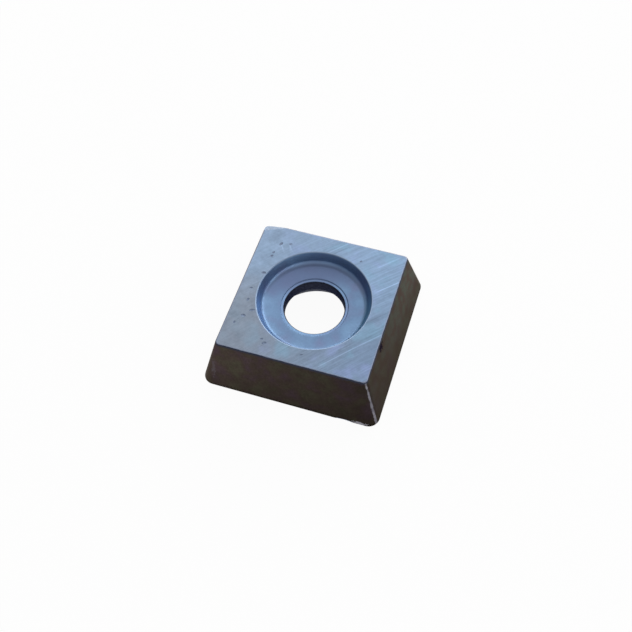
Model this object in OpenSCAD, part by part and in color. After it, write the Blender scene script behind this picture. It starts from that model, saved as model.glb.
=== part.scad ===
// Square cutting insert with sloping flanks, laid on its cutting face with the ground seat face up.
// One pressed and sintered piece. Millimetres, +Z up out of the seat face, X along the front edge.
// Origin: middle of the cutting face, which is the large face that lies on the table.

/* [Cutting face] */

// Side of the square that the four cutting edges make
face_side = 12.7; // [11:0.1:16]
// Corner radius at the cutting edges
nose_r = 0.8; // [0.4:0.1:1.2]

/* [Flanks] */

// Thickness from the cutting face to the seat face
thickness = 3.97; // [3.5:0.01:4.8]
// Slope of the four flanks, measured from square
flank_angle = 15; // [11:1:17]
// Corner radius left where the nose cone meets the seat face
seat_corner_r = 0.3; // [0.1:0.05:0.4]

/* [Seat recess] */

// Diameter of the recess at its rim in the seat face
recess_d = 7.92; // [7:0.01:8.2]
// Slope of the recess wall, measured from upright
recess_wall_angle = 20; // [15:1:35]
// Depth of the recess floor at the step beside the bore
recess_depth = 0.98; // [0.8:0.01:1.2]
// Fall of the dished recess floor towards the bore, in degrees
recess_floor_fall = 3; // [0:1:10]
// Radius at the foot of the recess wall
recess_foot_r = 0.5; // [0.1:0.05:0.7]

/* [Screw hole] */

// Diameter of the screw hole at its throat
bore_d = 4.2; // [3:0.1:4.4]
// Diameter of the flat land round the throat
land_d = 4.68; // [4.6:0.01:5]
// Depth of the land below the recess floor
land_step = 0.08; // [0.02:0.01:0.15]
// Width of the slope that rises from the land to the recess floor
land_slope = 0.03; // [0.01:0.01:0.1]
// Width of the broken edge between the land and the throat
land_edge = 0.08; // [0.02:0.01:0.1]
// Diameter of the countersink at the cutting face
countersink_d = 6.6; // [5.5:0.1:7]
// Full angle of the countersink
countersink_angle = 60; // [55:1:90]

/* [Chipped seat corner] */

// Length broken off along the back edge of the seat face
chip_back = 1.7; // [0.5:0.1:2.5]
// Length broken off along the left edge of the seat face
chip_left = 0.68; // [0.4:0.02:1.5]
// Height broken off down the corner
chip_height = 0.5; // [0.3:0.05:2]

/* [Hidden] */

// How far cutters reach past the faces that they cut
reach = 1;
// Share of its end radius by which a nose cone runs on past the seat face
cone_run_on = 0.5;

flank_tan = tan(flank_angle);
half_face = face_side / 2;
half_seat = half_face - thickness * flank_tan;

// Each nose is a leaning cone that touches both of its flanks; its axis runs between these two points
axis_low = half_face - nose_r;
axis_high = half_seat - seat_corner_r;
axis_shift = sqrt(2) * (axis_low - axis_high);
axis_length = norm([axis_shift, thickness]);
axis_lean = atan2(axis_shift, thickness);
reach_low = nose_r * cos(flank_angle);
reach_high = seat_corner_r * cos(flank_angle);
cone_angle = asin((reach_low - reach_high) / axis_length);
cone_low_r = reach_low / cos(cone_angle);
cone_high_r = reach_high / cos(cone_angle);
cone_over = cone_run_on * cone_high_r / tan(cone_angle);

// The lines where a nose cone touches its flanks lie in one plane; these are two of its points
touch_low = [(2 * axis_low + reach_low * cos(flank_angle)) / sqrt(2), reach_low * sin(flank_angle)];
touch_high = [(2 * axis_high + reach_high * cos(flank_angle)) / sqrt(2), thickness + reach_high * sin(flank_angle)];
touch_fall = (touch_low[0] - touch_high[0]) / (touch_high[1] - touch_low[1]);
half_corner_low = touch_low[0] + touch_low[1] * touch_fall;
half_corner_high = half_corner_low - thickness * touch_fall;

// Recess section: radius and depth where its wall and floor would meet without the foot radius
wall_tan = tan(recess_wall_angle);
floor_tan = tan(recess_floor_fall);
recess_r = recess_d / 2;
land_r = land_d / 2;
bore_r = bore_d / 2;
step_r = land_r + land_slope;
foot_depth = (recess_depth - (recess_r - step_r) * floor_tan) / (1 - wall_tan * floor_tan);
foot_r = recess_r - foot_depth * wall_tan;
foot_turn = 90 - recess_wall_angle - recess_floor_fall;
foot_tangent = recess_foot_r * tan(foot_turn / 2);
foot_on_wall = [foot_r + foot_tangent * sin(recess_wall_angle), -foot_depth + foot_tangent * cos(recess_wall_angle)];
foot_on_floor = [foot_r - foot_tangent * cos(recess_floor_fall), -foot_depth - foot_tangent * sin(recess_floor_fall)];
foot_centre = foot_on_wall + recess_foot_r * [-cos(recess_wall_angle), sin(recess_wall_angle)];
land_depth = recess_depth + land_step;

countersink_r = countersink_d / 2;
countersink_tan = tan(countersink_angle / 2);
countersink_depth = (countersink_r - bore_r) / countersink_tan;

// Plane of the break: it passes through one point on each of the three edges that meet at the corner
chip_turn = atan2(chip_left, chip_back);
chip_across = chip_back * sin(chip_turn) + chip_height * flank_tan * (sin(chip_turn) + cos(chip_turn));
chip_lean = atan2(chip_across, chip_height);

$fn = 96;

// Long bar with a flank-shaped section: wide at the cutting face, narrow at the seat face
module tapered_bar(half_low, half_high) {
    rotate([90, 0, 0])
        linear_extrude(height = 2 * face_side, center = true)
            polygon([
                [-half_low, 0],
                [half_low, 0],
                [half_high, thickness],
                [-half_high, thickness]
            ]);
}

// The block between the four flanks, with each corner cut back to the lines that its cone touches
module flanked_block() {
    intersection() {
        tapered_bar(half_face, half_seat);
        rotate([0, 0, 90])
            tapered_bar(half_face, half_seat);
        rotate([0, 0, 45])
            tapered_bar(half_corner_low, half_corner_high);
        rotate([0, 0, -45])
            tapered_bar(half_corner_low, half_corner_high);
    }
}

// Leaning cone that rounds one corner, run on past both faces
module nose_cone() {
    rotate([0, 0, 45])
        translate([sqrt(2) * axis_low, 0, 0])
            rotate([0, -axis_lean, 0])
                translate([0, 0, -reach])
                    cylinder(
                        h = axis_length + reach + cone_over,
                        r1 = cone_low_r + reach * tan(cone_angle),
                        r2 = cone_high_r * (1 - cone_run_on)
                    );
}

// The whole outer form between its two flat faces
module outer_form() {
    intersection() {
        translate([-face_side, -face_side, 0])
            cube([2 * face_side, 2 * face_side, thickness]);
        union() {
            flanked_block();
            for (quarter = [0:3])
                rotate([0, 0, 90 * quarter])
                    nose_cone();
        }
    }
}

// Half section of the recess, with the seat face at height zero
module recess_section() {
    polygon([
        [0, reach],
        [recess_r + reach * wall_tan, reach],
        foot_on_wall,
        foot_on_floor,
        [step_r, -recess_depth],
        [land_r, -land_depth],
        [bore_r + land_edge, -land_depth],
        [bore_r, -land_depth - land_edge],
        [0, -land_depth - land_edge]
    ]);
    translate(foot_centre)
        circle(r = recess_foot_r);
}

// Dished recess round the bore in the seat face
module recess_cutter() {
    translate([0, 0, thickness])
        rotate_extrude()
            recess_section();
}

// Throat and countersink of the screw hole
module hole_cutter() {
    translate([0, 0, -reach])
        cylinder(h = thickness + 2 * reach, r = bore_r);
    translate([0, 0, -reach])
        cylinder(
            h = countersink_depth + reach,
            r1 = countersink_r + reach * countersink_tan,
            r2 = bore_r
        );
}

// Block whose near face is the plane of the break at the back left corner of the seat face
module chip_cutter() {
    translate([-half_seat, half_seat - chip_left, thickness])
        rotate([0, 0, chip_turn])
            rotate([chip_lean, 0, 0])
                translate([-half_face, 0, -half_face])
                    cube(face_side);
}

module insert() {
    color([0.56, 0.66, 0.78])
        difference() {
            outer_form();
            recess_cutter();
            hole_cutter();
            chip_cutter();
        }
}

insert();
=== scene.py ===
"""Looks of a square carbide cutting insert that lies on its cutting face.

One pressed, sintered and coated block: a ground seat face on top, four sloping flanks, a dished
recess round the screw hole, and the wear of use. Lengths are written in millimetres and turned
to metres where a mesh or a light is made.
"""

import logging
import math
from dataclasses import dataclass
from enum import Enum
from typing import Callable, Sequence

import bmesh
import bpy
from mathutils import Matrix, Vector


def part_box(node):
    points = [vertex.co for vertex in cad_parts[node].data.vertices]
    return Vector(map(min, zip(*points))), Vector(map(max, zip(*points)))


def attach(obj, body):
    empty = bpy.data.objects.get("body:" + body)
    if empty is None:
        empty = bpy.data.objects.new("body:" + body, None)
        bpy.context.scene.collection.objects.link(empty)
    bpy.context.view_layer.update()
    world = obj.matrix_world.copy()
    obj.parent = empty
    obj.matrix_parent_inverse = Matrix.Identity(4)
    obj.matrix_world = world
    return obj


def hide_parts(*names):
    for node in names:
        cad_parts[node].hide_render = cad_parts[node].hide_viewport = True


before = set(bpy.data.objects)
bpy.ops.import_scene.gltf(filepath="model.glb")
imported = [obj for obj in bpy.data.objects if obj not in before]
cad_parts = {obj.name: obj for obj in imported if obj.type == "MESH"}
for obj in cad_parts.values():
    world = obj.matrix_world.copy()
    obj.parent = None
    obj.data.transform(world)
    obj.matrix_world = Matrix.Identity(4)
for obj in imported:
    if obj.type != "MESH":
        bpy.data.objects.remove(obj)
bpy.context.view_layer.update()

logging.basicConfig(level=logging.INFO, format="%(message)s")
log = logging.getLogger("carbide_insert")

MM = 0.001
# Points that are closer together than this count as one place
NEAR = 0.01 * MM
NODE = "insert"
BODY = "root"

Point = tuple[float, float]
Range = tuple[float, float]
Place = tuple[float, float, float]
Tree = bpy.types.NodeTree
Piece = bpy.types.Object

# Most values of a noise pattern lie in this range
USUAL: Range = (0.3, 0.7)


# Colours and node helpers


def linear(hex_colour: str) -> tuple[float, float, float, float]:
    """Turns an sRGB hex colour into linear red, green, blue and alpha.

    Args:
        hex_colour: Six hex digits with a leading hash.

    Returns:
        The linear colour with alpha 1.
    """
    parts = [int(hex_colour[i : i + 2], 16) / 255 for i in (1, 3, 5)]
    red, green, blue = (c / 12.92 if c <= 0.04045 else ((c + 0.055) / 1.055) ** 2.4 for c in parts)
    return red, green, blue, 1.0


def fill(node: bpy.types.Node, inputs: dict) -> None:
    """Sets or links a node's inputs.

    Args:
        node: The node whose inputs are filled.
        inputs: Input name or number to a plain value, an sRGB hex colour or a signal to link.
    """
    for key, value in inputs.items():
        if isinstance(value, Signal):
            value.tree.links.new(value.socket, node.inputs[key])
        else:
            node.inputs[key].default_value = linear(value) if isinstance(value, str) else value


def add_node(tree: Tree, kind: str, inputs: dict | None = None, **settings) -> bpy.types.Node:
    """Adds a shader node, applies its settings and fills its inputs.

    Args:
        tree: The material's node tree.
        kind: The node's Blender type name without the ShaderNode prefix.
        inputs: Input name or number to a plain value, an sRGB hex colour or a signal to link.
        **settings: Node properties such as operation or blend_type.

    Returns:
        The new node.
    """
    made = tree.nodes.new(f"ShaderNode{kind}")
    for name, value in settings.items():
        setattr(made, name, value)
    fill(made, inputs or {})
    return made


@dataclass(frozen=True)
class Signal:
    """A number, vector or colour in a node tree, and what can be made from it.

    Attributes:
        tree: The node tree.
        socket: The output socket that gives it.
    """

    tree: Tree
    socket: bpy.types.NodeSocket

    def node(self, kind: str, inputs: dict, output: str | int = 0, **settings) -> "Signal":
        """Adds a node to the same tree, as add_node does, and gives one of its outputs."""
        return Signal(self.tree, add_node(self.tree, kind, inputs, **settings).outputs[output])

    def calc(self, operation: str, *others: "Signal | float") -> "Signal":
        """Adds one sum on this number and others."""
        return self.node("Math", dict(enumerate((self, *others))), operation=operation)

    def __add__(self, other: "Signal | float") -> "Signal":
        """Adds a number."""
        return self.calc("ADD", other)

    def __sub__(self, other: "Signal | float") -> "Signal":
        """Takes a number away."""
        return self.calc("SUBTRACT", other)

    def __mul__(self, other: "Signal | float") -> "Signal":
        """Multiplies by a number."""
        return self.calc("MULTIPLY", other)

    def __truediv__(self, other: "Signal | float") -> "Signal":
        """Divides by a number."""
        return self.calc("DIVIDE", other)

    def vector(self, operation: str, *others: "Signal | Sequence[float]") -> "Signal":
        """Adds one sum on this vector and others that gives a vector."""
        return self.node("VectorMath", dict(enumerate((self, *others))), "Vector", operation=operation)

    def measure(self, operation: str, *others: "Signal | Sequence[float]") -> "Signal":
        """Adds one sum on this vector and others that gives a number."""
        return self.node("VectorMath", dict(enumerate((self, *others))), "Value", operation=operation)

    def level_length(self) -> "Signal":
        """Gives how far this vector reaches sideways, whatever its height."""
        return self.vector("MULTIPLY", (1, 1, 0)).measure("LENGTH")

    def part(self, name: str) -> "Signal":
        """Gives this vector's part X, Y or Z."""
        return self.node("SeparateXYZ", {"Vector": self}, name)

    def noise(self, grain_mm: float, detail: float = 3.0, roughness: float = 0.5) -> "Signal":
        """Adds a noise pattern, from 0 to 1, with a grain of a real size at this place."""
        inputs = {"Vector": self, "Scale": 1 / grain_mm, "Detail": detail, "Roughness": roughness}
        return self.node("TexNoise", inputs, "Fac")

    def spread(self, old: Range, new: Range = (0.0, 1.0), smooth: bool = True) -> "Signal":
        """Maps this number from one range to another, clamped.

        Args:
            old: The range that the number comes from.
            new: The range that it goes to.
            smooth: Whether the map eases in and out.

        Returns:
            The mapped number.
        """
        inputs = {"Value": self, "From Min": old[0], "From Max": old[1], "To Min": new[0], "To Max": new[1]}
        easing = "SMOOTHSTEP" if smooth else "LINEAR"
        return self.node("MapRange", inputs, "Result", interpolation_type=easing)

    def ramp(self, *stops: tuple[float, str]) -> "Signal":
        """Adds a colour ramp that reads this number.

        Args:
            *stops: Position and sRGB hex colour of each stop, in order.

        Returns:
            The colour.
        """
        made = add_node(self.tree, "ValToRGB", {"Fac": self})
        band = made.color_ramp
        while len(band.elements) < len(stops):
            band.elements.new(1.0)
        for element, (position, colour) in zip(band.elements, stops):
            element.position = position
            element.color = linear(colour)
        return Signal(self.tree, made.outputs["Color"])

    def blend(self, low: "Signal | str", high: "Signal | str") -> "Signal":
        """Mixes two colours, where this number is the share of the second one."""
        return self.node("Mix", {0: self, 6: low, 7: high}, 2, data_type="RGBA")

    def shade(self, factor: "Signal") -> "Signal":
        """Makes this colour lighter or darker by a factor, where 1 keeps it."""
        grey = self.node("CombineXYZ", {"X": factor, "Y": factor, "Z": factor})
        return self.node("Mix", {0: 1.0, 6: self, 7: grey}, 2, data_type="RGBA", blend_type="MULTIPLY")

    def bump(self, strength: float, height_mm: float) -> "Signal":
        """Turns this pattern into fine relief and gives the direction that the surface faces."""
        return self.node("Bump", {"Strength": strength, "Distance": height_mm * MM, "Height": self}, "Normal")


def coordinate(tree: Tree, name: str) -> Signal:
    """Gives one output of a new Texture Coordinate node."""
    return Signal(tree, add_node(tree, "TexCoord").outputs[name])


def place_in_mm(tree: Tree) -> Signal:
    """Gives the place on the piece in millimetres, read from Object coordinates."""
    return coordinate(tree, "Object").vector("MULTIPLY", (1 / MM, 1 / MM, 1 / MM))


def new_material(name: str) -> tuple[bpy.types.Material, Tree, bpy.types.Node]:
    """Makes a material that holds one Principled shader.

    Args:
        name: The material's name.

    Returns:
        The material, its node tree and its Principled node.
    """
    material = bpy.data.materials.new(name)
    material.use_nodes = True
    tree = material.node_tree
    tree.nodes.clear()
    shader = add_node(tree, "BsdfPrincipled")
    add_node(tree, "OutputMaterial", {"Surface": Signal(tree, shader.outputs["BSDF"])})
    return material, tree, shader


# Finishes


@dataclass(frozen=True)
class Metal:
    """Bare or coated metal: what the finishes share, and how their materials are made.

    Attributes:
        name: The material's name.
        roughness: Roughness of the surface, where 0 is a mirror.
    """

    name: str
    roughness: float

    def make(self) -> bpy.types.Material:
        """Makes the material.

        Returns:
            The finished material.
        """
        material, tree, shader = new_material(self.name)
        fill(shader, {"Metallic": 1.0, "Roughness": self.roughness} | self.look(place_in_mm(tree)))
        return material

    def look(self, place: Signal) -> dict:
        """Builds the nodes at a place in millimetres, and gives each shader input what fills it."""
        raise NotImplementedError


@dataclass(frozen=True)
class GrindLine:
    """One deep line that the grinding wheel left.

    Attributes:
        through: A point that the line passes through, in millimetres on the seat face.
        reach: Length of the line on each side of that point, lower left then upper right.
        width: Width of the line.
        strength: How much lighter than the face it is; below zero it is darker.
    """

    through: Point
    reach: tuple[float, float]
    width: float
    strength: float


@dataclass(frozen=True)
class GroundSeat(Metal):
    """Surface-ground sintered carbide under a thin blue grey coating.

    A ground metal face shines softly and is streaked along the wheel's path, which crosses the
    face from its front left to its back right in wide, nearly straight arcs. The left side is
    worn greyer and blotchy; on the right the coating is fresh and tinged cyan and violet.
    """

    name: str = "ground_coated_carbide"
    roughness: float = 0.42
    front_left: str = "#848f9f"
    front_right: str = "#7a8ea8"
    # The back colours are lighter than the front ones, partly a painted reflection of the windows behind
    back_left: str = "#899eb8"
    back_right: str = "#869ebb"
    violet: str = "#8f9dcb"
    cyan: str = "#7fa6bf"
    left_to_right: Range = (-2.6, 4.8)
    front_to_back: Range = (-0.4, 3.4)
    border_drift: float = 2.2
    fresh_zone: Range = (-4.5, 0.0)
    ground_zone: Range = (-4.5, 2.0)
    worn_zone: Range = (-2.0, -4.5)
    grind_angle: float = 47.0
    grind_radius: float = 95.0
    streak_pitch: float = 0.11
    streak_length: float = 2.6
    streak_sway: float = 0.74
    band_pitch: float = 0.75
    band_length: float = 5.5
    band_sway: float = 0.55
    blotch_grain: float = 1.1
    blotch_sway: float = 0.50
    speck_grain: float = 0.42
    speck_sway: float = 0.34
    fine_grain: float = 0.22
    fine_sway: float = 0.26
    tinge_grain: float = 1.7
    bump_mm: float = 0.006
    line_fade: float = 0.35
    lines: tuple[GrindLine, ...] = (
        GrindLine((3.30, -3.42), (2.2, 2.9), 0.070, 0.42),
        GrindLine((4.55, 2.35), (0.8, 1.1), 0.065, 0.44),
        GrindLine((3.95, 4.20), (0.7, 1.0), 0.110, 0.22),
        GrindLine((0.45, 4.70), (0.9, 0.5), 0.090, 0.16),
        GrindLine((0.75, 4.62), (0.8, 0.5), 0.070, -0.20),
        GrindLine((4.55, -0.30), (0.9, 1.0), 0.420, -0.13),
        GrindLine((4.75, -4.55), (0.9, 0.8), 0.150, 0.14),
    )

    def wheel_centre(self) -> Point:
        """Middle of the grinding arcs, far off the lower right of the face."""
        away = math.radians(self.grind_angle - 90)
        return self.grind_radius * math.cos(away), self.grind_radius * math.sin(away)

    def look(self, place: Signal) -> dict:
        """Builds the nodes of the finish.

        Args:
            place: Place on the piece in millimetres.

        Returns:
            Name of each shader input to what fills it.
        """
        off = place.vector("SUBTRACT", (*self.wheel_centre(), 0))
        across = off.level_length()
        along = off.part("Y").calc("ARCTAN2", off.part("X")) * self.grind_radius
        streaks = self.streaks(across, along, self.streak_pitch, self.streak_length, 4.0)
        bands = self.streaks(across, along, self.band_pitch, self.band_length, 2.0)
        blotches = place.noise(self.blotch_grain, 4.0, 0.55)
        specks = place.noise(self.speck_grain, 3.0, 0.55)
        grains = place.noise(self.fine_grain, 3.0, 0.6)

        ground = place.part("X").spread(self.ground_zone, (0.4, 1.0))
        worn = place.part("X").spread(self.worn_zone, (0.35, 1.0))
        light = 1.0
        for pattern, share, sway in (
            (streaks, ground, self.streak_sway),
            (bands, ground, self.band_sway),
            (blotches, worn, self.blotch_sway),
            (specks, worn, self.speck_sway),
            (grains, 1.0, self.fine_sway),
        ):
            light = (pattern - 0.5) * (share * sway) + light
        for line in self.lines:
            light = light + self.deep_line(across, along, line)
        return {
            "Base Color": self.coating(place, blotches).shade(light),
            "Roughness": bands.spread(USUAL, (self.roughness - 0.04, self.roughness + 0.05)),
            "Normal": ((streaks + grains) * 0.5).bump(0.35, self.bump_mm),
        }

    def coating(self, place: Signal, blotches: Signal) -> Signal:
        """Blends the coating's tones over the face and tinges it where it is fresh.

        The back is lighter than the front, partly as a painted reflection of the windows behind.

        Args:
            place: Place on the piece in millimetres.
            blotches: Uneven pattern that moves the borders between the tones.

        Returns:
            The colour.
        """
        drift = blotches * self.border_drift
        right = (place.part("X") + drift).spread(self.left_to_right, smooth=False)
        back = (place.part("Y") + drift).spread(self.front_to_back)
        front_colour = right.blend(self.front_left, self.front_right)
        colour = back.blend(front_colour, right.blend(self.back_left, self.back_right))
        tinge = place.noise(self.tinge_grain, 2.0)
        fresh = place.part("X").spread(self.fresh_zone, (0.1, 0.45))
        for tint, old in ((self.violet, (0.52, 0.72)), (self.cyan, (0.48, 0.30))):
            colour = (tinge.spread(old) * fresh).blend(colour, tint)
        return colour

    def streaks(self, across: Signal, along: Signal, pitch: float, length: float, detail: float) -> Signal:
        """Adds streaks along the wheel's path, each as wide as the pitch and as long as the length."""
        path = across.node("CombineXYZ", {"X": across / pitch, "Y": along / length})
        return path.noise(1.0, detail, 0.6)

    def deep_line(self, across: Signal, along: Signal, line: GrindLine) -> Signal:
        """Adds one deep grinding line.

        Args:
            across: Distance from the middle of the arcs.
            along: Distance along an arc.
            line: The line's place and size.

        Returns:
            How much the line lightens the face.
        """
        off = Vector(line.through) - Vector(self.wheel_centre())
        body = (across - off.length).calc("ABSOLUTE").spread((0.0, line.width), (1.0, 0.0))
        go = along - math.atan2(off.y, off.x) * self.grind_radius
        fade = self.line_fade
        low = go.spread((-line.reach[1] - fade, -line.reach[1] + fade))
        high = go.spread((line.reach[0] - fade, line.reach[0] + fade), (1.0, 0.0))
        return body * (low * high) * line.strength


@dataclass(frozen=True)
class PressedRecess(Metal):
    """Pressed and coated carbide that no wheel has touched: smooth, satin and a deeper blue.

    Painted shade darkens its back and tinges it violet, less so on the wall. Painted light makes its
    left side paler and its wall paler than its floor, and makes the wall lighter and bluer green at
    the front right.
    """

    name: str = "pressed_coated_carbide"
    roughness: float = 0.38
    deep: str = "#6e88a9"
    pale: str = "#7694b5"
    violet: str = "#707fa0"
    cloud_grain: float = 1.6
    fine_grain: float = 0.16
    bump_mm: float = 0.004
    # Painted shade: the back of the recess darker and violet, less so on the wall
    back_shade: str = "#616f90"
    back_shade_way: Point = (-0.45, 0.9)
    back_shade_zone: Range = (0.6, 2.6)
    back_shade_share: float = 0.85
    back_shade_on_wall: float = 0.3
    # Painted light: the recess paler on its left side
    left_light_zone: Range = (-3.3, -0.8)
    left_light_share: float = 1.13
    wall_zone: Range = (3.45, 3.75)
    # Painted light: the wall paler than the floor
    wall_light_share: float = 1.14
    # Painted light: the wall lighter and bluer green at the front right
    right_wall_light: str = "#80b0c8"
    right_zone: Range = (2.0, 3.6)
    front_zone: Range = (1.9, 0.1)
    land_zone: Range = (2.40, 2.34)
    land_share: float = 1.22

    def look(self, place: Signal) -> dict:
        """Builds the nodes of the finish.

        Args:
            place: Place on the piece in millimetres.

        Returns:
            Name of each shader input to what fills it.
        """
        clouds = place.noise(self.cloud_grain, 2.0)
        grains = place.noise(self.fine_grain, 3.0, 0.6)
        colour = clouds.ramp((0.3, self.violet), (0.5, self.deep), (0.7, self.pale))
        colour = colour.shade(grains.spread(USUAL, (0.95, 1.05), smooth=False))

        radius = place.level_length()
        # Painted shade: the back of the recess darker and violet, less so on the wall
        backward = place.measure("DOT_PRODUCT", (*self.back_shade_way, 0))
        tinge = backward.spread(self.back_shade_zone, (0.0, self.back_shade_share))
        on_floor = radius.spread(self.wall_zone, (1.0, self.back_shade_on_wall))
        colour = (tinge * on_floor).blend(colour, self.back_shade)
        # Painted light: the recess paler on its left side
        colour = colour.shade(place.part("X").spread(self.left_light_zone, (self.left_light_share, 1.0)))
        # Painted light: the wall paler than the floor
        colour = colour.shade(radius.spread(self.wall_zone, (1.0, self.wall_light_share)))
        # Painted light: the wall lighter and bluer green at the front right
        corner = place.part("X").spread(self.right_zone) * place.part("Y").spread(self.front_zone)
        colour = (radius.spread(self.wall_zone) * corner).blend(colour, self.right_wall_light)
        colour = colour.shade(radius.spread(self.land_zone, (1.0, self.land_share)))
        return {"Base Color": colour, "Normal": grains.bump(0.25, self.bump_mm)}


@dataclass(frozen=True)
class SinteredFlank(Metal):
    """As-sintered flank under a dark bronze coating, dull and faintly mottled.

    The side flanks are greener. Painted shade darkens the flanks towards the front right corner, and
    painted light lightens them away from it. That corner's nose carries one bright line, partly wear
    and partly a painted highlight, and the coating turns navy along the seat face. Painted shade
    darkens the flanks along the cutting edge and towards the bottom. The right flank has one dark
    spot at the seat face, and the front left nose has a small painted highlight.
    """

    name: str = "dark_coated_flank"
    roughness: float = 0.5
    brown: str = "#38302c"
    olive: str = "#3a372e"
    violet: str = "#3b3035"
    side: str = "#404540"
    side_brown: str = "#433937"
    navy: str = "#343340"
    glancing_tint: str = "#d2ccc4"
    cloud_grain: float = 1.3
    patch_grain: float = 0.75
    fine_grain: float = 0.14
    bump_mm: float = 0.008
    # Painted shade towards the front right corner, and painted light away from it
    corner_shade_zone: Range = (1.0, 11.5)
    corner_shade_level: Range = (1.25, 0.72)
    painted_light_zone: Range = (0.5, 4.5)
    painted_light: float = 1.16
    # Painted shade along the cutting edge, and darker towards the bottom
    edge_zone: Range = (0.06, 0.30)
    edge_level: float = 0.55
    foot_zone: Range = (0.2, 2.6)
    foot_level: Range = (0.82, 1.03)
    navy_zone: Range = (3.72, 3.92)
    navy_share: float = 0.8
    # Bright line down the front right nose: partly wear, partly a painted highlight
    wear_and_highlight: str = "#918f98"
    wear_and_highlight_low: str = "#6d6b75"
    line_top: Place = (5.215, -5.235, 3.97)
    line_foot: Place = (6.240, -5.940, 0.0)
    line_half: Range = (0.048, 0.090)
    line_soft: float = 0.045
    stain: str = "#3a333f"
    stain_at: Place = (5.36, -2.15, 3.70)
    stain_size: Place = (0.45, 0.38, 0.42)
    # Small painted highlight on the front left nose
    left_nose_highlight_at: Place = (-5.41, -5.89, 1.70)
    left_nose_highlight_size: Place = (0.16, 0.30, 1.10)
    left_nose_highlight_share: float = 0.2
    fleck_at: Place = (5.20, -6.31, 0.10)
    fleck_size: Place = (0.55, 0.20, 0.17)

    def look(self, place: Signal) -> dict:
        """Builds the nodes of the finish.

        Args:
            place: Place on the piece in millimetres.

        Returns:
            Name of each shader input to what fills it.
        """
        grains = place.noise(self.fine_grain, 3.0, 0.65)
        patches = place.noise(self.patch_grain, 3.0, 0.6)
        # The coating with its painted shade and light, then painted shade along the edges
        colour = self.darken_edges(place, grains, self.coating(place, grains, patches))
        stain = self.spot(place, self.stain_at, self.stain_size)
        colour = stain.blend(colour, self.stain)
        # Bright line down the front right nose: partly wear, partly a painted highlight
        wear_and_highlight = patches.spread((0.35, 0.65)).blend(self.wear_and_highlight_low, self.wear_and_highlight)
        colour = self.wear_and_highlight_line(place).blend(colour, wear_and_highlight)
        # Small painted highlight on the front left nose
        left_nose_highlight = self.spot(place, self.left_nose_highlight_at, self.left_nose_highlight_size)
        colour = (left_nose_highlight * self.left_nose_highlight_share).blend(colour, wear_and_highlight)
        colour = self.spot(place, self.fleck_at, self.fleck_size).blend(colour, self.wear_and_highlight)
        glancing = stain.blend(self.glancing_tint, self.stain)
        return {"Base Color": colour, "Specular Tint": glancing, "Normal": grains.bump(0.4, self.bump_mm)}

    def coating(self, place: Signal, grains: Signal, patches: Signal) -> Signal:
        """Mottles the coating, makes the side flanks greener, and paints shade and light on them.

        The painted shade deepens towards the front right corner, and painted light lies away from it.

        Args:
            place: Place on the piece in millimetres.
            grains: Fine pattern.
            patches: Coarse pattern.

        Returns:
            The colour.
        """
        clouds = place.noise(self.cloud_grain, 3.0, 0.55)
        colour = clouds.ramp((0.34, self.olive), (0.5, self.brown), (0.66, self.violet))
        colour = colour.shade(grains.spread(USUAL, (0.85, 1.15), smooth=False))
        side = patches.spread((0.38, 0.62)).blend(self.side, self.side_brown)
        sideways = coordinate(place.tree, "Normal").part("X")
        share = sideways.calc("ABSOLUTE").spread((0.5, 0.9))
        for part, zone, least in (("Y", (-5.5, 3.0), 0.40), ("Z", (0.6, 3.0), 0.35)):
            share = share * place.part(part).spread(zone, (least, 1.0))
        colour = share.blend(colour, side)
        colour = colour.shade(patches.spread(USUAL, (1.12, 0.90), smooth=False))
        # Painted shade towards the front right corner, and painted light away from it
        near = place.part("X") - place.part("Y")
        colour = colour.shade(near.spread(self.corner_shade_zone, self.corner_shade_level, smooth=False))
        return colour.shade(near.spread(self.painted_light_zone, (self.painted_light, 1.0)))

    def darken_edges(self, place: Signal, grains: Signal, colour: Signal) -> Signal:
        """Paints shade on the flanks and turns them navy at the seat face.

        The painted shade lies along the cutting edge and deepens towards the bottom.

        Args:
            place: Place on the piece in millimetres.
            grains: Fine pattern that makes the borders uneven.
            colour: The flanks' colour.

        Returns:
            The changed colour.
        """
        uneven = grains.spread(USUAL, (-0.10, 0.10), smooth=False)
        # The cutting face looks down and stays free of the painted shade, as if it lay far from the edge
        upward = coordinate(place.tree, "Normal").part("Z")
        height = place.part("Z") + uneven + upward.spread((-0.95, -0.60), (3.0, 0.0))
        # Painted shade along the cutting edge, and darker towards the bottom
        colour = colour.shade(height.spread(self.edge_zone, (self.edge_level, 1.0)))
        colour = colour.shade(height.spread(self.foot_zone, self.foot_level))
        return height.spread(self.navy_zone, (0.0, self.navy_share)).blend(colour, self.navy)

    def spot(self, place: Signal, middle: Place, size: Place) -> Signal:
        """Finds one small uneven spot.

        Args:
            place: Place on the piece in millimetres.
            middle: Middle of the spot.
            size: Half its size along each axis.

        Returns:
            1 on the spot and 0 away from it.
        """
        away = place.vector("SUBTRACT", middle).vector("DIVIDE", size).measure("LENGTH")
        ragged = place.noise(0.13, 3.0, 0.6).spread((0.35, 0.65), (-0.35, 0.45))
        return (away + ragged).spread((0.75, 1.05), (1.0, 0.0))

    def wear_and_highlight_line(self, place: Signal) -> Signal:
        """Finds the bright line down the front right nose.

        It is partly worn by use and partly a painted highlight.

        Args:
            place: Place on the piece in millimetres.

        Returns:
            1 on the line and 0 away from it.
        """
        down = Vector(self.line_foot) - Vector(self.line_top)
        way = tuple(down.normalized())
        off = place.vector("SUBTRACT", self.line_top)
        gap = off.vector("CROSS_PRODUCT", way).measure("LENGTH")
        uneven = place.noise(0.35, 2.0).spread(USUAL, (-0.03, 0.03))
        gone = off.measure("DOT_PRODUCT", way)
        width = gone.spread((0.0, down.length), self.line_half, smooth=False)
        return (gap - (width + uneven)).spread((-self.line_soft, self.line_soft), (1.0, 0.0))


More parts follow.
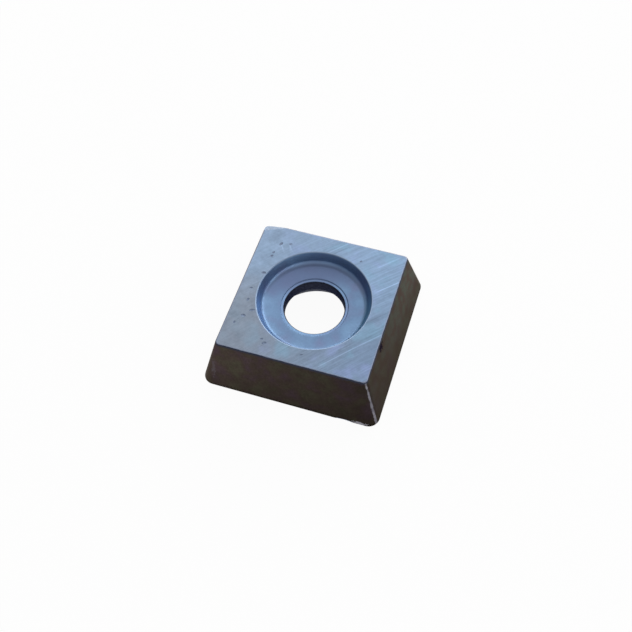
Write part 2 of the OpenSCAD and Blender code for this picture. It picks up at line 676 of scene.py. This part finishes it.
@dataclass(frozen=True)
class HonedEdge(Metal):
    """Rounded edge of the coated seat face, with a painted highlight and painted shade.

    It is lighter where it starts to turn from the face and deeper where it ends, by which way it
    faces.
    """

    name: str = "honed_coated_edge"
    roughness: float = 0.38
    light: str = "#8d96ac"
    deep: str = "#303747"
    turn_light: float = 0.93
    turn_deep: float = 0.80

    def look(self, place: Signal) -> dict:
        """Builds the nodes of the finish.

        Args:
            place: Place on the piece in millimetres.

        Returns:
            Name of each shader input to what fills it.
        """
        upward = coordinate(place.tree, "Normal").part("Z")
        uneven = place.noise(0.5, 3.0, 0.6).spread(USUAL, (-0.06, 0.06))
        # Painted highlight where the edge faces up, painted shade where it turns away
        share = (upward + uneven).spread((self.turn_deep, self.turn_light))
        return {"Base Color": share.blend(self.deep, self.light)}


@dataclass(frozen=True)
class PlainFinish(Metal):
    """A finish of one tone with fine grain, for the bore, the pits and broken carbide.

    Attributes:
        dark: Colour of the grain's low spots.
        light: Colour of the grain's high spots.
        grain_mm: Size of one grain.
        bump_mm: Height of the grain.
        glancing_tint: Tone that the surface takes where it is seen at a glancing angle.
    """

    dark: str
    light: str
    grain_mm: float
    bump_mm: float
    glancing_tint: str = "#ffffff"

    def look(self, place: Signal) -> dict:
        """Builds the nodes of the finish.

        Args:
            place: Place on the piece in millimetres.

        Returns:
            Name of each shader input to what fills it.
        """
        grains = place.noise(self.grain_mm, 3.0, 0.6)
        return {
            "Base Color": grains.ramp((0.35, self.dark), (0.65, self.light)),
            "Specular Tint": self.glancing_tint,
            "Normal": grains.bump(0.5, self.bump_mm),
        }


class Finish(Enum):
    """The finishes of the insert, in the order of its material slots."""

    SEAT = GroundSeat()
    RECESS = PressedRecess()
    FLANK = SinteredFlank()
    # Coated like the flanks and dull; its nearly black blue is partly painted shade, for the shade inside the
    # hole
    BORE = PlainFinish("coated_bore_wall", 0.5, "#292a35", "#383b4b", 0.15, 0.006, "#a6a8b0")
    # Rounded seat edges, with a painted highlight and painted shade
    HONED = HonedEdge()
    # Bottom of a pit, a little duller and darker than the ground face
    PITTED = PlainFinish("pitted_carbide", 0.55, "#69768c", "#7f8da4", 0.10, 0.006)
    # Fresh break through the coating, which shows the pale, grainy carbide
    BROKEN = PlainFinish("broken_carbide", 0.5, "#7b8ba1", "#9aa9bc", 0.16, 0.020)
    # Rim of the recess, with a painted highlight paler than the recess, so that it shows as a thin light arc
    RIM = HonedEdge("recess_rim_highlight", light="#91a4bd", deep="#6e88a9", turn_deep=0.55)


# Modelling helpers


def clear_selection() -> None:
    """Leaves edit mode and deselects everything."""
    if bpy.context.object and bpy.context.object.mode != "OBJECT":
        bpy.ops.object.mode_set(mode="OBJECT")
    bpy.ops.object.select_all(action="DESELECT")


def take(piece: Piece) -> None:
    """Makes a piece the only selected and active one.

    Args:
        piece: The piece to take.
    """
    clear_selection()
    piece.select_set(True)
    bpy.context.view_layer.objects.active = piece


def edit(piece: Piece, mode: str) -> bmesh.types.BMesh:
    """Opens a piece in edit mode with nothing selected.

    Args:
        piece: The piece to open.
        mode: VERT, EDGE or FACE.

    Returns:
        The piece's edit mesh.
    """
    take(piece)
    bpy.ops.object.mode_set(mode="EDIT")
    bpy.ops.mesh.select_mode(type=mode)
    bpy.ops.mesh.select_all(action="DESELECT")
    return bmesh.from_edit_mesh(piece.data)


def pick(piece: Piece, mode: str, test: Callable) -> int:
    """Opens a piece and selects the vertices, edges or faces that pass a test.

    Args:
        piece: The piece to open.
        mode: VERT, EDGE or FACE.
        test: Says whether one vertex, edge or face is selected.

    Returns:
        How many were selected.
    """
    shape = edit(piece, mode)
    parts = {"VERT": shape.verts, "EDGE": shape.edges, "FACE": shape.faces}[mode]
    found = [part for part in parts if test(part)]
    for part in found:
        part.select_set(True)
    shape.select_flush_mode()
    bmesh.update_edit_mesh(piece.data)
    return len(found)


def leave_edit() -> None:
    """Goes back to object mode."""
    bpy.ops.object.mode_set(mode="OBJECT")


def apply_modifiers(piece: Piece) -> None:
    """Applies every modifier of a piece in order.

    Args:
        piece: The piece whose modifiers are applied.
    """
    take(piece)
    for modifier in list(piece.modifiers):
        bpy.ops.object.modifier_apply(modifier=modifier.name)


def turn_outward(piece: Piece) -> None:
    """Turns every face of a closed piece outwards.

    Args:
        piece: The closed piece.
    """
    pick(piece, "FACE", lambda face: True)
    bpy.ops.mesh.normals_make_consistent(inside=False)
    leave_edit()


def put(piece: Piece, where: Matrix) -> None:
    """Moves a piece into place and applies the move to its mesh.

    Args:
        piece: The piece to move.
        where: Its place, turn and scale.
    """
    piece.matrix_world = where
    take(piece)
    bpy.ops.object.transform_apply(location=True, rotation=True, scale=True)


def bevel(size_mm: float, steps: int, **settings) -> None:
    """Rounds the selected edges in a number of steps."""
    bpy.ops.mesh.bevel(offset=size_mm * MM, segments=steps, affect="EDGES", **settings)


def roughen(piece: Piece, most: float, seed: int) -> None:
    """Moves a piece's vertices a little at random and leaves it in edit mode."""
    pick(piece, "VERT", lambda vert: True)
    bpy.ops.transform.vertex_random(offset=most, seed=seed, normal=0)


def raise_rings(rings: Sequence[Point]) -> None:
    """Extrudes the selected face upwards, ring by ring.

    Args:
        rings: Half width and height of each ring in millimetres. The face is the first one.
    """
    for (half, height), (next_half, next_height) in zip(rings, rings[1:]):
        step = (0, 0, (next_height - height) * MM)
        bpy.ops.mesh.extrude_region_move(TRANSFORM_OT_translate={"value": step})
        grow = next_half / half
        bpy.ops.transform.resize(value=(grow, grow, 1), center_override=(0, 0, next_height * MM))


def cut_away(piece: Piece, cutter: Piece) -> None:
    """Cuts one piece with another and deletes the cutter.

    Args:
        piece: The piece that is cut.
        cutter: The shape that is taken away, with its own materials.
    """
    cut = piece.modifiers.new("cut", "BOOLEAN")
    cut.operation = "DIFFERENCE"
    cut.solver = "EXACT"
    cut.object = cutter
    cut.material_mode = "TRANSFER"
    apply_modifiers(piece)
    bpy.data.objects.remove(cutter)


def give(piece: Piece, *materials: bpy.types.Material) -> None:
    """Gives a piece its materials, in order."""
    for material in materials:
        piece.data.materials.append(material)


# The insert


@dataclass(frozen=True)
class Pit:
    """One small pit in the seat face.

    Attributes:
        place: Middle of the pit on the seat face, in millimetres.
        length: Its longest size.
        width: Its size across.
        turn: Direction of its length in degrees.
    """

    place: Point
    length: float
    width: float
    turn: float


@dataclass
class InsertBlock:
    """The whole insert: one block with its recess, hole, honed edges and wear, in millimetres."""

    face_side: float
    thickness: float
    flank_angle: float = 15.0
    nose_r: float = 0.8
    seat_corner_r: float = 0.3
    nose_steps: int = 16

    recess_d: float = 7.92
    recess_wall_angle: float = 20.0
    recess_depth: float = 0.98
    recess_floor_fall: float = 3.0
    recess_foot_r: float = 0.5
    foot_steps: int = 16
    floor_end_fall: float = 8.0
    floor_steps: int = 6
    round_steps: int = 192

    bore_d: float = 4.2
    land_d: float = 4.68
    land_step: float = 0.08
    land_slope: float = 0.03
    land_edge: float = 0.08
    countersink_d: float = 6.6
    countersink_angle: float = 60.0

    seat_hone: float = 0.08
    seat_hone_steps: int = 4
    rim_hone: float = 0.07
    rim_hone_steps: int = 4
    hone: float = 0.03
    hone_steps: int = 3
    hone_from_angle: float = 24.0

    chip_back: float = 1.7
    chip_left: float = 0.68
    chip_height: float = 0.5
    chip_roughness: float = 0.05
    chip_block: float = 4.0
    chip_grid: int = 28
    chip_seed: int = 4
    reach: float = 1.0

    pits: tuple[Pit, ...] = (
        Pit((-4.03, 1.09), 0.35, 0.23, 10),
        Pit((-3.77, -2.06), 0.41, 0.20, 30),
        Pit((-4.33, -1.31), 0.27, 0.19, 80),
        Pit((-4.20, -2.63), 0.35, 0.24, 15),
        Pit((-3.68, 3.81), 0.34, 0.22, 60),
        Pit((-3.98, 2.63), 0.27, 0.18, 45),
        Pit((-2.10, -4.29), 0.35, 0.22, 30),
        Pit((-2.36, -4.03), 0.22, 0.16, 0),
        Pit((-3.02, 3.98), 0.27, 0.14, 20),
        Pit((-3.95, 2.95), 0.24, 0.14, 60),
        Pit((-4.45, -0.35), 0.22, 0.16, 30),
        Pit((-4.60, -3.30), 0.20, 0.15, 70),
        Pit((2.20, 3.95), 0.24, 0.11, 47),
        Pit((0.55, -4.45), 0.23, 0.14, 40),
    )
    pit_depth: float = 0.015
    edge_nicks: tuple[Pit, ...] = (
        Pit((0.12, 5.29), 0.22, 0.16, 20),
        Pit((-5.29, -3.42), 0.30, 0.10, 85),
    )
    break_at: Place = (4.05, -6.38, 0.0)
    break_size: Place = (1.5, 0.18, 0.36)
    break_seed: int = 40
    lens_steps: int = 2
    lens_roughness: float = 0.06
    smooth_below: float = 32.0

    @property
    def half_face(self) -> float:
        """Half the side of the cutting face."""
        return self.face_side / 2

    @property
    def half_seat(self) -> float:
        """Half the side of the seat face."""
        return self.half_face - self.thickness * math.tan(math.radians(self.flank_angle))

    def build(self) -> Piece:
        """Models the insert and dresses it.

        Returns:
            The finished piece.
        """
        block = self.pressed_block()
        cut_away(block, self.turned_cutter())
        self.dress(block)
        self.round_rim(block)
        self.hone_edges(block)
        cut_away(block, self.chip_cutter())
        for number, pit in enumerate(self.pits + self.edge_nicks):
            place = (*pit.place, self.thickness)
            size = (pit.length, pit.width, 2 * self.pit_depth)
            cut_away(block, self.lens_cutter(place, size, pit.turn, number, Finish.PITTED))
        cut_away(block, self.lens_cutter(self.break_at, self.break_size, 0, self.break_seed, Finish.BROKEN))
        self.smooth(block)
        return block

    def outline_rings(self) -> list[Point]:
        """Works out the rounding of the seat face's outline.

        Returns:
            Half side and height of each ring, from the flank up to the seat face.
        """
        slope = math.radians(self.flank_angle)
        turn = math.pi / 2 - slope
        radius = self.seat_hone / math.tan(turn / 2)
        rings = []
        for step in range(self.seat_hone_steps + 1):
            angle = slope + turn * step / self.seat_hone_steps
            half = self.half_seat - self.seat_hone + radius * math.cos(angle)
            rings.append((half, self.thickness - radius + radius * math.sin(angle)))
        return rings

    def pressed_block(self) -> Piece:
        """Models the block with its sloping flanks, its nose cones and its rounded seat outline.

        Returns:
            The block, without its recess and hole.
        """
        rings = self.outline_rings()
        half, height = rings[0]
        clear_selection()
        bpy.ops.mesh.primitive_cube_add(
            size=1,
            location=(0, 0, height * MM / 2),
            scale=(self.face_side * MM, self.face_side * MM, height * MM),
        )
        block = bpy.context.object
        block.name = "carbide_insert"
        bpy.ops.object.transform_apply(location=True, rotation=True, scale=True)

        pick(block, "EDGE", lambda edge: abs(edge.verts[0].co.z - edge.verts[1].co.z) > height * MM / 2)
        bevel(self.nose_r, self.nose_steps)
        top = height * MM
        pick(block, "VERT", lambda vert: abs(vert.co.z - top) < NEAR)
        shrink = half / self.half_face
        bpy.ops.transform.resize(value=(shrink, shrink, 1), center_override=(0, 0, top))

        corner = half * MM
        shrunk_r = self.nose_r * shrink * MM
        corner_r = self.nose_r + (self.seat_corner_r - self.nose_r) * height / self.thickness
        tighten = corner_r * MM / shrunk_r
        for side_x in (-1, 1):
            for side_y in (-1, 1):
                pick(
                    block,
                    "VERT",
                    lambda vert: abs(vert.co.z - top) < NEAR
                    and vert.co.x * side_x > corner - shrunk_r - NEAR
                    and vert.co.y * side_y > corner - shrunk_r - NEAR,
                )
                bpy.ops.transform.resize(
                    value=(tighten, tighten, 1),
                    center_override=(side_x * corner, side_y * corner, top),
                )

        pick(block, "FACE", lambda face: face.normal.z > 0.99)
        raise_rings(rings)
        leave_edit()
        return block

    def recess_profile(self) -> list[Point]:
        """Works out the section of the hole and the recess.

        Returns:
            Radius and height of each corner of the section, from below the cutting face upwards.
        """
        top = self.thickness
        bore_r = self.bore_d / 2
        land_r = self.land_d / 2
        recess_r = self.recess_d / 2
        sink_tan = math.tan(math.radians(self.countersink_angle / 2))
        sink_depth = (self.countersink_d / 2 - bore_r) / sink_tan
        land_depth = self.recess_depth + self.land_step
        step_r = land_r + self.land_slope

        wall = math.radians(self.recess_wall_angle)
        fall = math.radians(self.recess_floor_fall)
        foot_depth = (self.recess_depth - (recess_r - step_r) * math.tan(fall)) / (
            1 - math.tan(wall) * math.tan(fall)
        )
        foot_r = recess_r - foot_depth * math.tan(wall)
        turn = math.pi / 2 - wall - fall
        tangent = self.recess_foot_r * math.tan(turn / 2)
        on_wall = Vector((foot_r + tangent * math.sin(wall), top - foot_depth + tangent * math.cos(wall)))
        centre = on_wall + self.recess_foot_r * Vector((-math.cos(wall), math.sin(wall)))

        end_fall = math.radians(self.floor_end_fall)
        foot = []
        for step in range(self.foot_steps + 1):
            angle = end_fall + (math.pi / 2 - wall - end_fall) * step / self.foot_steps
            foot.append(centre + self.recess_foot_r * Vector((math.sin(angle), -math.cos(angle))))

        section = [
            (self.countersink_d / 2 + self.reach * sink_tan, -self.reach),
            (bore_r, sink_depth),
            (bore_r, top - land_depth - self.land_edge),
            (bore_r + self.land_edge, top - land_depth),
            (land_r, top - land_depth),
        ]
        run = foot[0].x - step_r
        rise = foot[0].y - (top - self.recess_depth)
        first_slope = 2 * rise / run - math.tan(end_fall)
        for step in range(self.floor_steps):
            along = run * step / self.floor_steps
            bend = (math.tan(end_fall) - first_slope) * along**2 / (2 * run)
            section.append((step_r + along, top - self.recess_depth + first_slope * along + bend))
        section += [(spot.x, spot.y) for spot in foot]
        section.append((recess_r + self.reach * math.tan(wall), top + self.reach))
        return section

    def turned_cutter(self) -> Piece:
        """Models the shape of the hole and the recess, ring by ring.

        Returns:
            The closed cutter.
        """
        section = self.recess_profile()
        clear_selection()
        radius, height = section[0]
        bpy.ops.mesh.primitive_circle_add(
            vertices=self.round_steps, radius=radius * MM, location=(0, 0, height * MM), fill_type="NGON"
        )
        cutter = bpy.context.object
        bpy.ops.object.transform_apply(location=True, rotation=True, scale=True)
        pick(cutter, "FACE", lambda face: True)
        raise_rings(section)
        turn_outward(cutter)
        return cutter

    def dress(self, block: Piece) -> None:
        """Gives each face of the block its finish.

        Args:
            block: The block with its recess and hole.
        """
        block.data.materials.clear()
        give(block, *(finish.value.make() for finish in Finish))
        top = self.thickness * MM
        outline = self.outline_rings()[0][1] * MM
        land = (self.thickness - self.recess_depth - self.land_step) * MM
        rim = self.recess_d / 2 * MM
        order = list(Finish)

        def finish_of(face: bmesh.types.BMFace) -> Finish:
            """Says which finish a face has, from its place and direction.

            Args:
                face: A face of the block.

            Returns:
                Its finish.
            """
            middle = face.calc_center_median()
            radius = middle.xy.length
            lowest = min(vert.co.z for vert in face.verts)
            if face.normal.z > 0.999 and lowest > top - NEAR:
                return Finish.SEAT
            if radius > rim and lowest > outline - NEAR:
                return Finish.HONED
            if radius < rim and lowest > land - NEAR:
                return Finish.RECESS
            if radius < rim and face.normal.z > -0.9:
                return Finish.BORE
            return Finish.FLANK

        shape = edit(block, "FACE")
        for face in shape.faces:
            face.material_index = order.index(finish_of(face))
        bmesh.update_edit_mesh(block.data)
        leave_edit()

    def round_rim(self, block: Piece) -> None:
        """Rounds the rim of the recess, which is worn further than the other edges.

        Args:
            block: The block with its recess and hole.
        """
        top = self.thickness * MM
        rim = self.recess_d / 2 * MM

        def on_rim(vert: bmesh.types.BMVert) -> bool:
            """Says whether a vertex lies on the rim."""
            return abs(vert.co.z - top) < NEAR and abs(vert.co.xy.length - rim) < NEAR

        pick(block, "EDGE", lambda edge: all(on_rim(vert) for vert in edge.verts))
        # The rounding takes the rim finish, whose paleness is a painted highlight
        wear_and_highlight = list(Finish).index(Finish.RIM)
        bevel(self.rim_hone, self.rim_hone_steps, material=wear_and_highlight, clamp_overlap=False)
        leave_edit()

    def hone_edges(self, block: Piece) -> None:
        """Rounds the sharp edges of the block a little, as tumbling and coating leave them.

        Args:
            block: The block with its recess and hole, before its wear.
        """
        sharp = math.radians(self.hone_from_angle)
        count = pick(block, "EDGE", lambda edge: edge.is_manifold and edge.calc_face_angle(0) > sharp)
        bevel(self.hone, self.hone_steps, clamp_overlap=False, loop_slide=True)
        leave_edit()
        log.info("rounded %d edges by %.3f mm", count, self.hone)

    def chip_cutter(self) -> Piece:
        """Models the broken piece of the back left seat corner.

        Returns:
            The cutter, whose near side is a rough plane.
        """
        turn = math.atan2(self.chip_left, self.chip_back)
        slope = math.tan(math.radians(self.flank_angle))
        behind = self.chip_height * slope * (math.sin(turn) + math.cos(turn))
        lean = math.atan2(self.chip_back * math.sin(turn) + behind, self.chip_height)
        grid, size = self.chip_grid, self.chip_block * MM
        clear_selection()
        bpy.ops.mesh.primitive_grid_add(x_subdivisions=grid, y_subdivisions=grid, size=size)
        cutter = bpy.context.object
        give(cutter, bpy.data.materials[Finish.BROKEN.value.name])
        roughen(cutter, self.chip_roughness * MM, self.chip_seed)
        bpy.ops.mesh.vertices_smooth(factor=0.5, repeat=2)
        bpy.ops.mesh.select_all(action="SELECT")
        bpy.ops.mesh.extrude_region_move(TRANSFORM_OT_translate={"value": (0, 0, size)})
        turn_outward(cutter)
        start = Vector((-self.half_seat, self.half_seat - self.chip_left, self.thickness)) * MM
        turned = Matrix.Rotation(turn, 4, "Z") @ Matrix.Rotation(lean, 4, "X")
        put(cutter, Matrix.Translation(start) @ turned @ Matrix.Rotation(-math.pi / 2, 4, "X"))
        return cutter

    def lens_cutter(self, place: Place, size: Place, turn: float, seed: int, finish: Finish) -> Piece:
        """Models an uneven lens, whose lower half leaves a pit or a small break in a face.

        Args:
            place: Middle of the lens.
            size: Its length, width and height.
            turn: Direction of its length in degrees.
            seed: Makes each lens uneven in its own way.
            finish: The finish of the face that it leaves.

        Returns:
            The cutter.
        """
        clear_selection()
        bpy.ops.mesh.primitive_ico_sphere_add(subdivisions=self.lens_steps, radius=0.5)
        cutter = bpy.context.object
        give(cutter, bpy.data.materials[finish.value.name])
        roughen(cutter, self.lens_roughness, seed + 1)
        leave_edit()
        turned = Matrix.Translation(Vector(place) * MM) @ Matrix.Rotation(math.radians(turn), 4, "Z")
        put(cutter, turned @ Matrix.Diagonal((*(Vector(size) * MM), 1)))
        return cutter

    def smooth(self, block: Piece) -> None:
        """Shades the block smoothly and keeps its flats flat.

        Args:
            block: The finished block.
        """
        turn_outward(block)
        take(block)
        bpy.ops.object.shade_smooth_by_angle(angle=math.radians(self.smooth_below))
        weighted = block.modifiers.new("flat_faces", "WEIGHTED_NORMAL")
        weighted.mode = "FACE_AREA"
        weighted.keep_sharp = True
        apply_modifiers(block)


# Stage, light and camera


def direction(azimuth: float, elevation: float) -> Vector:
    """Gives the direction at a turn from the front towards the right and a height, in degrees."""
    turn, rise = math.radians(azimuth), math.radians(elevation)
    return Vector((math.sin(turn) * math.cos(rise), -math.cos(turn) * math.cos(rise), math.sin(rise)))


@dataclass(frozen=True)
class Stage:
    """Plain white table top that the insert lies on."""

    side: float = 2000.0
    colour: str = "#f4f4f4"
    fibre_colour: str = "#efefef"
    fibre_grain: float = 0.6
    roughness: float = 0.9
    white_share: float = 0.95

    def build(self) -> bpy.types.Object:
        """Makes the table top.

        Returns:
            The floor.
        """
        clear_selection()
        bpy.ops.mesh.primitive_plane_add(size=self.side * MM)
        floor = bpy.context.object
        floor.name = "table_top"
        material, tree, shader = new_material("matt_white_paper")
        fibres = place_in_mm(tree).noise(self.fibre_grain)
        colour = fibres.ramp((0.3, self.fibre_colour), (0.7, self.colour))
        fill(shader, {"Base Color": colour, "Roughness": self.roughness, "Specular IOR Level": 0.0})
        self.show_white(tree, shader)
        give(floor, material)
        return floor

    def show_white(self, tree: Tree, shader: bpy.types.Node) -> None:
        """Makes the table top look white to the camera and in reflections, and keeps its shadow.

        Args:
            tree: The table top's node tree.
            shader: Its plain shader.
        """
        rays = add_node(tree, "LightPath").outputs
        seen = Signal(tree, rays["Is Camera Ray"])
        for mirrored in ("Is Glossy Ray", "Is Transmission Ray"):
            seen = seen.calc("MAXIMUM", Signal(tree, rays[mirrored]))
        plain = Signal(tree, shader.outputs["BSDF"])
        glow = plain.node("Emission", {"Color": "#ffffff", "Strength": 1.0})
        mixed = plain.node("MixShader", {0: seen * self.white_share, 1: plain, 2: glow})
        output = next(node for node in tree.nodes if node.type == "OUTPUT_MATERIAL")
        fill(output, {"Surface": mixed})


@dataclass(frozen=True)
class Softbox:
    """One soft light.

    Attributes:
        name: The light's name.
        azimuth: Direction in degrees, from the front towards the right.
        elevation: Height in degrees above the table.
        distance: Distance from the insert in millimetres.
        width: Width of the light in millimetres.
        height: Height of the light in millimetres.
        brightness: How bright its surface looks, where 1 is white.
    """

    name: str
    azimuth: float
    elevation: float
    distance: float
    width: float
    height: float
    brightness: float

    def build(self) -> bpy.types.Object:
        """Makes the light, turned towards the insert.

        Returns:
            The light.
        """
        away = direction(self.azimuth, self.elevation)
        lamp = bpy.data.lights.new(self.name, "AREA")
        lamp.shape = "RECTANGLE"
        lamp.size = self.width * MM
        lamp.size_y = self.height * MM
        lamp.energy = self.brightness * math.pi * lamp.size * lamp.size_y
        light = bpy.data.objects.new(self.name, lamp)
        bpy.context.scene.collection.objects.link(light)
        facing = away.to_track_quat("Z", "Y").to_matrix().to_4x4()
        light.matrix_world = Matrix.Translation(away * self.distance * MM) @ facing
        return light


@dataclass(frozen=True)
class Studio:
    """A dim even room, with two windows behind the insert, one to its right and a faint one in front."""

    side_light: float = 0.55
    ceiling_light: float = 0.48
    softboxes: tuple[Softbox, ...] = (
        Softbox("back_window", 185.0, 50.0, 400.0, 700.0, 400.0, 0.70),
        Softbox("low_window", 175.0, 14.0, 400.0, 900.0, 190.0, 2.2),
        Softbox("side_window", 85.0, 14.0, 400.0, 600.0, 170.0, 0.85),
        Softbox("front_window", 20.0, 38.0, 400.0, 500.0, 300.0, 0.22),
    )

    def build(self) -> None:
        """Makes the room light and the softboxes."""
        world = bpy.data.worlds.new("pale_room")
        bpy.context.scene.world = world
        world.use_nodes = True
        tree = world.node_tree
        upward = coordinate(tree, "Generated").part("Z")
        level = upward.spread((0.0, 1.0), (self.side_light, self.ceiling_light), smooth=False)
        fill(tree.nodes["Background"], {"Strength": level, "Color": "#ffffff"})
        for softbox in self.softboxes:
            softbox.build()


@dataclass(frozen=True)
class Viewpoint:
    """Where the photograph was taken from, relative to the middle of the cutting face."""

    azimuth: float = 20.72
    elevation: float = 57.67
    roll: float = -3.40
    distance: float = 66.33
    aside: float = 0.02
    above: float = 0.955
    lens: float = 52.39
    sensor: float = 36.0

    def build(self) -> bpy.types.Object:
        """Makes the camera.

        Returns:
            The scene's camera.
        """
        turn = math.radians(self.azimuth)
        back = direction(self.azimuth, self.elevation)
        right = Vector((math.cos(turn), math.sin(turn), 0))
        up = back.cross(right)
        level = Matrix((right, up, back)).transposed()
        aim = level @ Matrix.Rotation(-math.radians(self.roll), 3, "Z").transposed()
        data = bpy.data.cameras.new("camera")
        data.lens = self.lens
        data.sensor_width = self.sensor
        data.clip_start = MM
        data.clip_end = 20.0
        camera = bpy.data.objects.new("camera", data)
        bpy.context.scene.collection.objects.link(camera)
        spot = aim @ Vector((self.aside, self.above, self.distance)) * MM
        camera.matrix_world = Matrix.Translation(spot) @ aim.to_4x4()
        bpy.context.scene.camera = camera
        return camera


# Assembly


def main() -> None:
    """Builds the camera, the insert, the table top and the lights."""
    bpy.context.scene.view_settings.view_transform = "Standard"
    Viewpoint().build()
    low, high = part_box(NODE)
    block = InsertBlock(face_side=(high.x - low.x) / MM, thickness=(high.z - low.z) / MM)
    insert = block.build()
    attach(insert, BODY)
    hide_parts(NODE)
    log.info("%s: %d faces", insert.name, len(insert.data.polygons))
    Stage().build()
    Studio().build()


if __name__ == "__main__":
    main()
